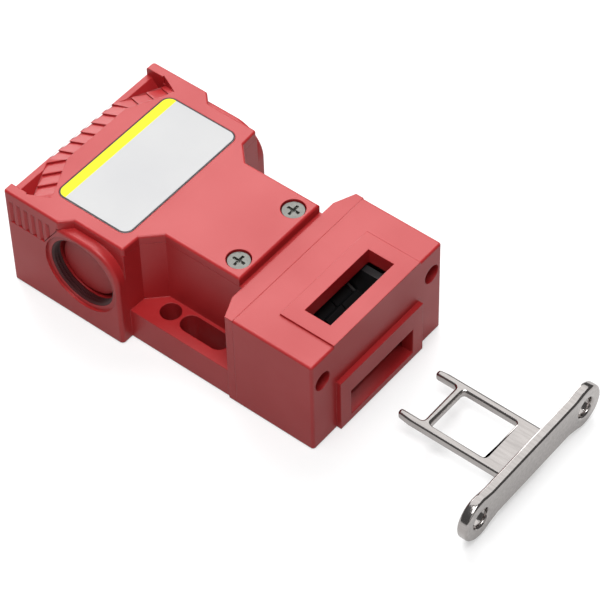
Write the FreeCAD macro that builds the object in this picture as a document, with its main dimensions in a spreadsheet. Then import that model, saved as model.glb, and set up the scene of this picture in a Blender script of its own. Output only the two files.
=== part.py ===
"""Tongue interlock switch: a safety switch body, its inner mechanism and its separate tongue key.

Frame: millimetres, +Z up, +X from the cable chamber towards the actuating head.
The origin lies on the base plane, midway between the two round fixing holes.
Every size is a cell of the "dims" sheet; sketches read the cells through expressions.
"""
import FreeCAD, Part
import math
import os
import re

import Sketcher

Vector = FreeCAD.Vector

DIMS = {
    # housing outline, measured from the rear face or as half widths about the middle plane
    "rear_reach": 42.6,
    "wide_half": 27.0,
    "mid_half": 24.2,
    "shoulder_half": 18.9,
    "flange_half": 23.6,
    "head_half": 24.0,
    "wide_len": 17.0,
    "chamber_len": 34.7,
    "shoulder_step": 0.3,
    "boss_round": 8.5,
    "boss_edge": 1.0,
    "corner_round": 0.8,
    "edge_round": 0.6,
    "lid_front": 18.9,
    "head_rear": 19.9,
    "head_corner": 22.3,
    "head_joint": 24.5,
    "head_rear_half": 18.4,
    "head_front": 47.4,
    # levels
    "lid_top": 30.7,
    "lid_plate": 2.5,
    "head_top": 28.7,
    "flange_top": 9.2,
    # walls
    "floor_wall": 2.5,
    "side_wall": 2.5,
    "entry_wall": 5.8,
    "partition_rear": 11.4,
    "partition_front": 17.5,
    "front_room_half": 12.0,
    "front_room_low": 3.0,
    "front_room_high": 26.0,
    # cable entries
    "entry_radius": 9.6,
    "entry_ring": 1.3,
    "entry_sink": 0.6,
    "entry_depth": 3.4,
    "knockout_radius": 8.0,
    "knockout_step": 0.3,
    "knockout_web": 0.8,
    "entry_back": 19.8,
    "entry_level": 16.4,
    # fixing holes and slots
    "fixing_half": 18.1,
    "fixing_radius": 2.65,
    "slot_near": 6.2,
    "slot_far": 14.7,
    # lid details
    "skirt_low": 20.6,
    "skirt_flat": 12.0,
    "skirt_len": 16.5,
    "skirt_rise": 6.6,
    "skirt_wall": 2.7,
    "skirt_gap": 0.1,
    "corner_half": 11.2,
    "corner_back": 1.2,
    "corner_front": 7.6,
    "bevel_half": 11.5,
    "bevel_front": 6.2,
    "bevel_len": 5.2,
    "bevel_drop": 2.4,
    "scoop_lip": 1.6,
    "scoop_run": 2.4,
    "scoop_depth": 3.5,
    "rib_pitch": 3.9,
    "rib_width": 3.5,
    "rib_depth": 0.45,
    "rear_ribs": 6,
    "corner_ribs": 3,
    "grip_rear": 1.3,
    "grip_pitch": 2.3,
    "grip_width": 1.7,
    "grip_depth": 0.45,
    "grip_top": 2.9,
    "grip_count": 6,
    "label_rear": 10.2,
    "label_len": 22.5,
    "label_half": 20.4,
    "label_corner": 2.6,
    "label_thick": 0.3,
    "label_sink": 0.2,
    "label_gap": 0.1,
    # gasket
    "seal_inset": 0.7,
    "seal_width": 1.1,
    "seal_depth": 0.6,
    # screws
    "lid_screw_x": 14.9,
    "lid_screw_half": 9.9,
    "lid_screw_radius": 1.5,
    "lid_screw_head": 2.75,
    "lid_screw_head_len": 1.3,
    "lid_screw_sink": 0.5,
    "lid_screw_len": 11.0,
    "head_screw_half": 20.2,
    "head_screw_level": 21.1,
    "head_screw_radius": 1.5,
    "head_screw_head": 2.4,
    "head_screw_seat": 40.0,
    "head_thread_len": 3.2,
    "head_boss_radius": 3.4,
    "screw_gap": 0.15,
    "thread_gap": 0.02,
    # actuating head
    "head_wall": 2.0,
    "top_pad_rear": 31.8,
    "top_pad_half": 15.9,
    "top_pad_rise": 0.5,
    "front_pad_half": 15.4,
    "front_pad_top": 16.1,
    "front_pad_rise": 1.3,
    "mouth_half": 11.65,
    "mouth_height": 8.4,
    "mouth_width": 7.4,
    "mouth_depth": 4.3,
    "collar_wall": 1.2,
    # tongue key
    "key_hole_half": 20.0,
    "key_hole_radius": 2.7,
    "key_lobe": 5.9,
    "key_lift": 0.2,
    "key_plate": 2.8,
    "key_top": 5.2,
    "key_low": 4.2,
    "key_thick": 2.4,
    "key_half": 8.4,
    "key_leg": 2.1,
    "key_root": 6.6,
    "key_window": 15.3,
    "key_bar": 2.0,
    "key_tip": 6.2,
    "key_tip_taper": 3.2,
    "key_rest_gap": 10.5,
    "key_stop_gap": 1.8,
    # cams
    "cam_setback": 16.4,
    "cam_radius": 9.3,
    "cam_nose": 12.0,
    "cam_over_tongue": 8.3,
    "cam_half": 5.9,
    "cam_split": 0.3,
    "cam_turn": 85.0,
    "cam_gap": 0.35,
    "axle_radius": 2.0,
    "axle_gap": 0.05,
    "cage_inner": 9.3,
    "cage_wall": 2.0,
    "cage_rear": 18.5,
    "cage_gap": 0.15,
    "cage_setback": 1.0,
    "cage_top": 24.0,
    "coil_radius": 3.2,
    "coil_wire": 0.7,
    # plunger and contacts
    "plunger_stroke": 2.3,
    "plunger_radius": 2.5,
    "plunger_gap": 0.06,
    "nose_half": 5.5,
    "nose_thick": 1.5,
    "nose_len": 1.8,
    "lip_len": 1.4,
    "lip_radius": 4.2,
    "tray_rear": -14.5,
    "tray_front": 11.2,
    "tray_side": 0.7,
    "tray_clear": 0.3,
    "tray_wall": 1.2,
    "tray_low": 2.6,
    "tray_high": 26.4,
    "shelf_rear": -25.0,
    "cover_thick": 1.0,
    "pole_pitch": 7.4,
    "strip_width": 5.0,
    "strip_thick": 0.8,
    "strip_gap": 0.1,
    "upper_strip": 21.2,
    "lower_strip": 6.4,
    "carrier_rear": -2.0,
    "carrier_len": 7.0,
    "carrier_side": 0.65,
    "carrier_gap": 0.1,
    "carrier_height": 5.0,
    "window_margin": 1.2,
    "window_gap": 0.15,
    "bridge_thick": 1.0,
    "bridge_width": 4.0,
    "bridge_reach": 5.2,
    "pad_radius": 1.1,
    "pad_thick": 0.6,
    "open_gap": 0.3,
    "terminal_rear_low": -20.0,
    "terminal_rear_high": -10.8,
    "terminal_radius": 2.0,
    "terminal_head": 1.8,
    "clamp_thick": 0.8,
    "clamp_half": 2.4,
    "spring_radius": 2.6,
    "spring_wire": 0.6,
    "spring_seat": -8.5,
}

doc = FreeCAD.newDocument("tongue_interlock_switch")
sheet = doc.addObject("Spreadsheet::Sheet", "dims")
for row, (alias, value) in enumerate(DIMS.items(), start=1):
    sheet.set(f"A{row}", alias)
    sheet.set(f"B{row}", str(value))
    sheet.setAlias(f"B{row}", alias)
doc.recompute()

pieces = []


def bound(formula):
    """The formula with each name turned into a reference to its sheet cell."""
    return re.sub(r"\b([a-z_]+)\b(?!\()", r"dims.\1", formula)


def size(formula):
    """The present value of a formula of sheet cells."""
    return float(doc.dims.evalExpression(formula))


def count(name):
    """The present value of a cell that holds a number of copies."""
    return int(size(name))


# ---------------------------------------------------------------- modelling helpers


def new_body(label):
    """A PartDesign body that becomes one node."""
    body = doc.addObject("PartDesign::Body", label)
    body.Label = label
    pieces.append(body)
    return body


def new_sketch(body, role, offset):
    """A sketch on one of the body's origin planes, moved along the plane's normal."""
    sketch = body.newObject("Sketcher::SketchObject", body.Name + "_sketch")
    plane = [feature for feature in body.Origin.OriginFeatures if feature.Role == role][0]
    sketch.AttachmentSupport = [(plane, "")]
    sketch.MapMode = "FlatFace"
    sketch.setExpression("AttachmentOffset.Base.z", bound(offset))
    return sketch


def tilted_sketch(body, place, across, up):
    """A sketch through a place, on the plane of two directions."""
    sketch = new_sketch(body, "XY_Plane", "0")
    sketch.setExpression("AttachmentOffset.Base.z", None)
    turn = FreeCAD.Rotation(across, up, across.cross(up), "XYZ")
    sketch.AttachmentOffset = FreeCAD.Placement(place, turn)
    return sketch


def pin_point(sketch, edge, vertex, place):
    """Holds one sketch point at a place given by two formulas."""
    for kind, formula in zip(("DistanceX", "DistanceY"), place):
        index = sketch.addConstraint(
            Sketcher.Constraint(kind, -1, 1, edge, vertex, size(formula)))
        sketch.setExpression(f"Constraints[{index}]", bound(formula))


def draw_polygon(sketch, corners):
    """Draws a closed polygon whose corners are pairs of formulas."""
    points = [Vector(size(across), size(along), 0) for across, along in corners]
    last = len(points)
    for index in range(last):
        sketch.addGeometry(Part.LineSegment(points[index], points[(index + 1) % last]), False)
    for index in range(last):
        sketch.addConstraint(
            Sketcher.Constraint("Coincident", index, 2, (index + 1) % last, 1))
        pin_point(sketch, index, 1, corners[index])
    return sketch


def polygon(body, role, offset, corners):
    """A closed polygon on one of the body's origin planes, moved along its normal."""
    return draw_polygon(new_sketch(body, role, offset), corners)


def rounded(corners, index, radius):
    """The two tangent points and the centre of a rounded right-angled corner."""
    across, along = corners[index]
    moves = []
    for other in (corners[index - 1], corners[(index + 1) % len(corners)]):
        step = [size(there) - size(here) for there, here in zip(other, corners[index])]
        moves.append([0 if abs(part) < 0.001 else math.copysign(1, part) for part in step])
    spots = moves + [[first + second for first, second in zip(*moves)]]
    return [(f"{across} + {right} * ({radius})", f"{along} + {rise} * ({radius})")
            for right, rise in spots]


def rounded_box(body, role, offset, corners, radius, which=(0, 1, 2, 3)):
    """A rectangle with some or all of its corners rounded."""
    sketch = new_sketch(body, role, offset)
    stops, arcs = [], []
    for index, corner in enumerate(corners):
        if index in which:
            start, end, centre = rounded(corners, index, radius)
            arcs.append((len(stops), centre))
            stops += [start, end]
        else:
            stops.append(corner)
    spots = [Vector(size(across), size(along), 0) for across, along in stops]
    bends = dict(arcs)
    for index, spot in enumerate(spots):
        after = spots[(index + 1) % len(spots)]
        if index in bends:
            centre = Vector(size(bends[index][0]), size(bends[index][1]), 0)
            middle = (spot + after) / 2 - centre
            middle = centre + middle.normalize() * (spot - centre).Length
            sketch.addGeometry(Part.Arc(spot, middle, after), False)
        else:
            sketch.addGeometry(Part.LineSegment(spot, after), False)
    turned = [geometry.TypeId.endswith("ArcOfCircle") and geometry.StartPoint.distanceToPoint(
        spot) > 0.001 for geometry, spot in zip(sketch.Geometry, spots)]
    for index in range(len(spots)):
        after = (index + 1) % len(spots)
        sketch.addConstraint(Sketcher.Constraint(
            "Coincident", index, 1 if turned[index] else 2, after, 2 if turned[after] else 1))
    for index, stop in enumerate(stops):
        if index not in bends:
            pin_point(sketch, index, 1, stop)
        else:
            pin_point(sketch, index, 2 if turned[index] else 1, stop)
            number = sketch.addConstraint(Sketcher.Constraint("Radius", index, size(radius)))
            sketch.setExpression(f"Constraints[{number}]", bound(radius))
    return sketch


def circle(body, role, offset, centre, radius):
    """A circle with its centre and radius bound."""
    sketch = new_sketch(body, role, offset)
    sketch.addGeometry(Part.Circle(Vector(size(centre[0]), size(centre[1]), 0),
                                   Vector(0, 0, 1), size(radius)), False)
    pin_point(sketch, 0, 3, centre)
    index = sketch.addConstraint(Sketcher.Constraint("Radius", 0, size(radius)))
    sketch.setExpression(f"Constraints[{index}]", bound(radius))
    return sketch


def box(low, high):
    """The four corners of a rectangle from two opposite ones."""
    return [(low[0], low[1]), (high[0], low[1]), (high[0], high[1]), (low[0], high[1])]


def mirrored(half):
    """A polygon symmetric about the X axis from its +Y half, rear to front."""
    return half + [(along, f"-({across})") for along, across in reversed(half)]


def pad(body, sketch, length, symmetric=False, flipped=False):
    """Adds material from a sketch."""
    feature = body.newObject("PartDesign::Pad", body.Name + "_pad")
    feature.Profile = sketch
    feature.setExpression("Length", bound(length))
    if symmetric:
        feature.SideType = "Symmetric"
    feature.Reversed = flipped
    return feature


def pocket(body, sketch, length, symmetric=False, flipped=False):
    """Cuts against the sketch plane's normal, or along it when flipped."""
    feature = body.newObject("PartDesign::Pocket", body.Name + "_pocket")
    feature.Profile = sketch
    feature.setExpression("Length", bound(length))
    if symmetric:
        feature.SideType = "Symmetric"
    feature.Reversed = flipped
    return feature


def loft_pocket(body, first, second):
    """Cuts the tapering space between two sketches."""
    feature = body.newObject("PartDesign::SubtractiveLoft", body.Name + "_loft")
    feature.Profile = first
    feature.Sections = [second]
    feature.Ruled = True
    return feature


def row_of(body, feature, sketch, pitch, copies):
    """Repeats a feature along its sketch's horizontal axis."""
    pattern = body.newObject("PartDesign::LinearPattern", body.Name + "_pattern")
    pattern.Originals = [feature]
    pattern.Direction = (sketch, ["H_Axis"])
    pattern.setExpression("Length", bound(f"{pitch} * ({copies} - 1)"))
    pattern.setExpression("Occurrences", bound(copies))
    body.Tip = pattern
    return pattern


def round_edges(body, radius, wanted):
    """Rounds the edges of the body so far that pass a test."""
    doc.recompute()
    tip = body.Tip
    names = [f"Edge{number}" for number, edge in enumerate(tip.Shape.Edges, start=1)
             if wanted(edge)]
    feature = body.newObject("PartDesign::Fillet", body.Name + "_fillet")
    feature.Base = (tip, names)
    feature.setExpression("Radius", bound(radius))
    return feature


def lies_at(edge, **places):
    """Whether every end of an edge lies at the given coordinates, in either sign of y."""
    for end in edge.Vertexes:
        for axis, place in places.items():
            value = abs(end.Y) if axis == "y" else getattr(end, axis.upper())
            if abs(value - place) > 0.001:
                return False
    return len(edge.Vertexes) == 2


def upright(edge):
    """Whether an edge is a straight vertical line."""
    ends = [vertex.Point for vertex in edge.Vertexes]
    return len(ends) == 2 and (ends[1] - ends[0]).cross(Vector(0, 0, 1)).Length < 0.001


def solid_piece(label, shape):
    """A node whose shape is made with Part's own functions."""
    piece = doc.addObject("Part::Feature", label)
    piece.Label = label
    piece.Shape = shape.removeSplitter()
    piece.Placement = piece.Shape.Placement
    pieces.append(piece)
    return piece


def block(x_span, y_span, z_span):
    """A box between pairs of limits."""
    low = Vector(x_span[0], y_span[0], z_span[0])
    return Part.makeBox(x_span[1] - x_span[0], y_span[1] - y_span[0], z_span[1] - z_span[0], low)


def rod(radius, start, end):
    """A cylinder between two points."""
    axis = end - start
    return Part.makeCylinder(radius, axis.Length, start, axis)


def prism(radius, start, end, sides=8):
    """A regular prism between two points, for small hidden round pieces."""
    axis = end - start
    side = axis.cross(Vector(1, 0, 0) if abs(axis.x) < 0.5 * axis.Length else Vector(0, 1, 0))
    side.normalize()
    turns = [FreeCAD.Rotation(axis, 360 * step / sides) for step in range(sides)]
    ring = [start + turn.multVec(side * radius) for turn in turns]
    return Part.Face(Part.makePolygon(ring + ring[:1])).extrude(axis)


def coil(radius, wire, start, length, turns, direction):
    """A coil spring of square wire in flat facets, seated on the start plane."""
    per_turn = 10
    steps = per_turn * turns
    rings = []
    for step in range(steps + 1):
        angle = 2 * math.pi * step / per_turn
        middle = wire / 2 + (length - wire) * step / steps
        ring = []
        for across, along in ((-1, -1), (1, -1), (1, 1), (-1, 1)):
            reach = radius + across * wire / 2
            ring.append(Vector(reach * math.cos(angle), reach * math.sin(angle),
                               middle + along * wire / 2))
        rings.append(ring)
    outlines = [rings[0], rings[-1]]
    for low, high in zip(rings, rings[1:]):
        for corner in range(4):
            after = (corner + 1) % 4
            outlines.append([low[corner], low[after], high[after]])
            outlines.append([low[corner], high[after], high[corner]])
    faces = [Part.Face(Part.makePolygon(points + points[:1])) for points in outlines]
    spring = Part.Solid(Part.Shell(faces))
    spring.Placement = FreeCAD.Placement(start, FreeCAD.Rotation(Vector(0, 0, 1), direction))
    return spring


# ---------------------------------------------------------------- housing

CHAMBER_FRONT = "-rear_reach + chamber_len"
STEP_FRONT = CHAMBER_FRONT + " + shoulder_step"
RIM = "(lid_top - lid_plate)"
TRAY_HALF = "(pole_pitch + strip_width / 2 + tray_side + tray_wall)"
NECK_ROOM = f"({TRAY_HALF} + tray_clear)"
NECK_HALF = f"({NECK_ROOM} + side_wall)"

OUTLINE_REAR = [
    ("-rear_reach", "wide_half"),
    ("-rear_reach + wide_len", "wide_half"),
    ("-rear_reach + wide_len + wide_half - mid_half", "mid_half"),
    (CHAMBER_FRONT, "mid_half"),
    (STEP_FRONT, "shoulder_half"),
    (f"{STEP_FRONT} + shoulder_half - {NECK_HALF}", NECK_HALF),
]
CAVITY_REAR = "-rear_reach + entry_wall"
CAVITY_HALF = "wide_half - entry_wall"
CAVITY_FRONT = CHAMBER_FRONT + " - side_wall"


def cavity_outline(grow):
    """The chamber's plan outline, grown outwards by a formula."""
    return mirrored([
        (f"{CAVITY_REAR} - ({grow})", f"corner_half + 0.5 * ({grow})"),
        (f"{CAVITY_REAR} + corner_front - corner_back - 0.5 * ({grow})",
         f"{CAVITY_HALF} + ({grow})"),
        (f"{CAVITY_FRONT} + ({grow})", f"{CAVITY_HALF} + ({grow})"),
        (f"{CAVITY_FRONT} + ({grow})", f"{NECK_ROOM} + ({grow})"),
        (f"partition_rear + ({grow})", f"{NECK_ROOM} + ({grow})"),
    ])


def corner_outline(side, gap):
    """The plan of the lid's rear corner behind the chamber, on one side."""
    corners = [
        ("-rear_reach", f"corner_half + {gap}"),
        ("-rear_reach", f"wide_half - skirt_wall + {gap}"),
        (f"-rear_reach + corner_front - {gap}", f"wide_half - skirt_wall + {gap}"),
        (f"-rear_reach + corner_back - {gap}", f"corner_half + {gap}"),
    ]
    return [(along, f"{side} * ({across})") for along, across in corners]


def skirt_profile(gap):
    """The side view of the lid's skirt: level at the rear, then rising ahead to the plate."""
    return [
        ("-rear_reach", f"skirt_low + {gap}"),
        (f"-rear_reach + skirt_flat - {gap}", f"skirt_low + {gap}"),
        (f"-rear_reach + skirt_len - {gap}", f"skirt_low + skirt_rise + {gap}"),
        (f"-rear_reach + skirt_len - {gap}", "lid_top - lid_plate / 2"),
        ("-rear_reach", "lid_top - lid_plate / 2"),
    ]


def round_upright(body, places):
    """Rounds the upright outer edges at the given plan places, on both sides."""
    spots = [(size(along), size(across)) for along, across in places]

    def wanted(edge):
        return upright(edge) and any(lies_at(edge, x=x, y=y) for x, y in spots)

    round_edges(body, "corner_round", wanted)


def cut_entry(body, role, face, centre, flipped):
    """A blind cable entry: a sunk ring, the bore, and a groove round the knock-out disc."""
    ring = circle(body, role, face, centre, "entry_radius + entry_ring")
    pocket(body, ring, "entry_sink", flipped=flipped)
    bore = circle(body, role, face, centre, "entry_radius")
    pocket(body, bore, "entry_depth", flipped=flipped)
    groove = circle(body, role, face, centre, "entry_radius - knockout_step")
    groove.addGeometry(Part.Circle(groove.Geometry[0].Center, Vector(0, 0, 1),
                                   size("knockout_radius")), False)
    pin_point(groove, 1, 3, centre)
    index = groove.addConstraint(Sketcher.Constraint("Radius", 1, size("knockout_radius")))
    groove.setExpression(f"Constraints[{index}]", bound("knockout_radius"))
    pocket(body, groove, "entry_wall - knockout_web", flipped=flipped)


def make_base():
    """The moulded base: cable chamber, contact neck, fixing flange and the head's rear wall."""
    body = new_body("base_housing")
    outline = mirrored(OUTLINE_REAR + [("head_joint", NECK_HALF)])
    pad(body, polygon(body, "XY_Plane", "0", outline), RIM)
    boss = box(("-rear_reach + wide_len", "0"), (CHAMBER_FRONT, RIM))
    pad(body, rounded_box(body, "XZ_Plane", "0", boss, "boss_round", (2,)), "2 * wide_half",
        symmetric=True)
    front, outer = size(CHAMBER_FRONT), size("wide_half")
    round_edges(body, "boss_edge",
                lambda edge: lies_at(edge, x=front, y=outer) and upright(edge))
    round_upright(body, [("-rear_reach", "wide_half")])
    flange = mirrored([(CHAMBER_FRONT, "flange_half"), ("head_joint", "flange_half")])
    pad(body, polygon(body, "XY_Plane", "0", flange), "flange_top")
    wall = mirrored([("head_rear", "head_rear_half"), ("head_corner", "head_half"),
                     ("head_joint", "head_half")])
    pad(body, polygon(body, "XY_Plane", "0", wall), "head_top")
    pocket(body, polygon(body, "XY_Plane", "floor_wall", cavity_outline("0")),
           "lid_top", flipped=True)
    front_room = mirrored([("partition_front", "front_room_half"),
                           ("head_joint + 1", "front_room_half")])
    pocket(body, polygon(body, "XY_Plane", "front_room_low", front_room),
           "front_room_high - front_room_low", flipped=True)
    pocket(body, circle(body, "YZ_Plane", "partition_rear - 1", ("0", CAM_LEVEL),
                        "plunger_radius + plunger_gap"),
           "partition_front - partition_rear + 2", flipped=True)
    for side in ("1", "-1"):
        pocket(body, polygon(body, "XY_Plane", "skirt_low", corner_outline(side, "0")),
               "lid_top", flipped=True)
        pocket(body, polygon(body, "XZ_Plane", f"{side} * wide_half", skirt_profile("0")),
               "skirt_wall", flipped=side == "-1")
        hole = circle(body, "XY_Plane", "0", ("0", f"{side} * fixing_half"), "fixing_radius")
        pocket(body, hole, "flange_top + 1", flipped=True)
        for end in ("slot_near", "slot_far"):
            hole = circle(body, "XY_Plane", "0", (end, f"{side} * fixing_half"), "fixing_radius")
            pocket(body, hole, "flange_top + 1", flipped=True)
        middle = box(("slot_near", f"{side} * fixing_half - fixing_radius"),
                     ("slot_far", f"{side} * fixing_half + fixing_radius"))
        pocket(body, polygon(body, "XY_Plane", "0", middle), "flange_top + 1", flipped=True)
        hole = circle(body, "XY_Plane", RIM, ("lid_screw_x", f"{side} * lid_screw_half"),
                      "lid_screw_radius + thread_gap")
        pocket(body, hole, "lid_screw_len")
        hole = circle(body, "YZ_Plane", "head_joint",
                      (f"{side} * head_screw_half", "head_screw_level"),
                      "head_screw_radius + thread_gap")
        pocket(body, hole, "head_thread_len")
        cut_entry(body, "XZ_Plane", f"{side} * wide_half", ("-entry_back", "entry_level"),
                  side == "-1")
    cut_entry(body, "YZ_Plane", "-rear_reach", ("0", "entry_level"), True)
    groove_out = polygon(body, "XY_Plane", f"{RIM} - seal_depth",
                         cavity_outline("seal_inset + seal_width"))
    pocket(body, groove_out, "seal_depth + 3", flipped=True)
    land = polygon(body, "XY_Plane", f"{RIM} - seal_depth", cavity_outline("seal_inset"))
    pad(body, land, "seal_depth")
    pocket(body, polygon(body, "XY_Plane", f"{RIM} - seal_depth - 1", cavity_outline("0")),
           "seal_depth + 3", flipped=True)
    return body


def make_gasket():
    """The flat seal that lies in the base's groove under the lid."""
    body = new_body("lid_gasket")
    level = "lid_top - lid_plate - seal_depth"
    pad(body, polygon(body, "XY_Plane", level,
                      cavity_outline("seal_inset + seal_width - 0.02")), "seal_depth")
    pocket(body, polygon(body, "XY_Plane", level, cavity_outline("seal_inset + 0.02")),
           "seal_depth", flipped=True)
    return body


def lid_corner(along, across):
    """A plan point of the lid at the foot of its bevel."""
    return Vector(size(along), size(across), size("lid_top - bevel_drop"))


def bevel_edge(body, start, end, ribs):
    """Bevels one edge of the lid, which lies to its left, and cuts the saw-tooth ribs in it."""
    run = (end - start).normalize()
    upward = Vector(0, 0, 1)
    inward = upward.cross(run)
    middle = (start + end) / 2
    reach = (end - start).Length
    wedge = [("-1", "0"), ("0", "0"), ("bevel_len", "bevel_drop"),
             ("bevel_len", "bevel_drop + 1"), ("-1", "bevel_drop + 1")]
    sketch = draw_polygon(tilted_sketch(body, middle, inward, upward), wedge)
    pocket(body, sketch, str(reach), symmetric=True)
    climb = inward * size("bevel_len") + upward * size("bevel_drop")
    first = f"rib_width / 2 - rib_pitch * ({ribs} - 1) / 2"
    tooth = [(f"{first} - rib_width", "-rib_depth"), (first, "0"),
             (first, "rib_depth"), (f"{first} - rib_width", "rib_depth")]
    sketch = draw_polygon(
        tilted_sketch(body, middle + climb / 2, run, run.cross(climb.normalize())), tooth)
    cut = pocket(body, sketch, "sqrt(bevel_len * bevel_len + bevel_drop * bevel_drop)",
                 symmetric=True)
    row_of(body, cut, sketch, "rib_pitch", ribs)


def scoop_outline(side, lip):
    """The plan of the open corner between the ribbed chamfer and the side, from a lip on."""
    slope = "(wide_half - skirt_wall - bevel_half) / bevel_front"
    corners = [
        (f"-rear_reach + {lip}", f"bevel_half + ({lip}) * {slope}"),
        (f"-rear_reach + {lip}", "wide_half - skirt_wall"),
        ("-rear_reach + bevel_front", "wide_half - skirt_wall"),
    ]
    return [(along, f"{side} * ({across})") for along, across in corners]


def make_lid():
    """The lid: a plate with side skirts, a ribbed bevel round its rear and scooped corners."""
    body = new_body("lid")
    outline = mirrored(OUTLINE_REAR + [("lid_front", NECK_HALF)])
    pad(body, polygon(body, "XY_Plane", RIM, outline), "lid_plate")
    for side in ("1", "-1"):
        pad(body, polygon(body, "XZ_Plane", f"{side} * wide_half", skirt_profile("skirt_gap")),
            "skirt_wall - skirt_gap", flipped=side == "1")
        pad(body, polygon(body, "XY_Plane", "skirt_low + skirt_gap",
                          corner_outline(side, "skirt_gap")),
            f"{RIM} - skirt_low")
    round_upright(body, [("-rear_reach", "wide_half"), OUTLINE_REAR[1], OUTLINE_REAR[3]])
    top = size("lid_top")
    round_edges(body, "edge_round", lambda edge: lies_at(edge, z=top))
    foot = "lid_top - bevel_drop"
    inner = "wide_half - skirt_wall"
    for side in ("1", "-1"):
        upper = scoop_outline(side, "scoop_lip")
        open_side = scoop_outline(side, "-1")
        pocket(body, polygon(body, "XY_Plane", foot, open_side), "bevel_drop + 1", flipped=True)
        loft_pocket(body, polygon(body, "XY_Plane", foot, upper),
                    polygon(body, "XY_Plane", f"{foot} - scoop_depth",
                            scoop_outline(side, "scoop_lip + scoop_run")))
        seat = circle(body, "XY_Plane", "lid_top", ("lid_screw_x", f"{side} * lid_screw_half"),
                      "lid_screw_head + 2 * screw_gap")
        pocket(body, seat, "lid_screw_sink + lid_screw_head_len")
        hole = circle(body, "XY_Plane", "lid_top", ("lid_screw_x", f"{side} * lid_screw_half"),
                      "lid_screw_radius + screw_gap")
        pocket(body, hole, "lid_plate + 1")
        flute = [
            ("-rear_reach + grip_rear", f"{side} * (wide_half + 0.1)"),
            ("-rear_reach + grip_rear + grip_width / 2", f"{side} * (wide_half - grip_depth)"),
            ("-rear_reach + grip_rear + grip_width", f"{side} * (wide_half + 0.1)"),
        ]
        sketch = polygon(body, "XY_Plane", "skirt_low", flute)
        cut = pocket(body, sketch, "lid_top - grip_top - skirt_low", flipped=True)
        row_of(body, cut, sketch, "grip_pitch", "grip_count")
    bevel_edge(body, lid_corner("-rear_reach + bevel_front", inner),
               lid_corner("-rear_reach", "bevel_half"), "corner_ribs")
    bevel_edge(body, lid_corner("-rear_reach", "bevel_half"),
               lid_corner("-rear_reach", "-bevel_half"), "rear_ribs")
    bevel_edge(body, lid_corner("-rear_reach", "-bevel_half"),
               lid_corner("-rear_reach + bevel_front", f"-({inner})"), "corner_ribs")
    pocket(body, rounded_box(body, "XY_Plane", "lid_top", label_outline("0"), "label_corner"),
           "label_sink")
    return body


def label_outline(gap):
    """The plan of the rating plate, drawn in by a gap."""
    return box((f"-rear_reach + label_rear + {gap}", f"-label_half + {gap}"),
               (f"-rear_reach + label_rear + label_len - {gap}", f"label_half - {gap}"))


def make_label():
    """The rating plate: a thin plate in a shallow recess of the lid."""
    body = new_body("rating_plate")
    pad(body, rounded_box(body, "XY_Plane", "lid_top - label_sink", label_outline("label_gap"),
                          "label_corner - label_gap"), "label_thick")
    return body


def screw(start, direction, head_radius, head_len, shank_radius, shank_len):
    """A cross-recessed screw with its head at the start and its shank along the direction."""
    neck = start + direction * head_len
    shape = rod(head_radius, start, neck).fuse(
        prism(shank_radius, neck, neck + direction * shank_len, 12))
    side = direction.cross(Vector(1, 0, 0) if abs(direction.x) < 0.5 else Vector(0, 1, 0))
    other = direction.cross(side)
    for arm, thin in ((side, other), (other, side)):
        reach = 0.62 * head_radius
        half = 0.13 * head_radius
        corners = [start + arm * (a * reach) + thin * (b * half) - direction * 0.1
                   for a, b in ((-1, -1), (1, -1), (1, 1), (-1, 1))]
        face = Part.Face(Part.makePolygon(corners + corners[:1]))
        shape = shape.cut(face.extrude(direction * (0.1 + 0.6 * head_len)))
    return shape


def make_lid_screws():
    """The two lid screws."""
    top = size("lid_top - lid_screw_sink")
    shapes = []
    for side in (1, -1):
        start = Vector(size("lid_screw_x"), side * size("lid_screw_half"), top)
        shapes.append(screw(start, Vector(0, 0, -1), size("lid_screw_head"),
                            size("lid_screw_head_len"), size("lid_screw_radius"),
                            size("lid_screw_len") - 2))
    return solid_piece("lid_screws", Part.makeCompound(shapes))


# ---------------------------------------------------------------- actuating head

TONGUE_LEVEL = "key_lobe + key_lift"
CAM_LEVEL = f"({TONGUE_LEVEL} + cam_over_tongue)"
CAM_X = "(head_front - cam_setback)"


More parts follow.
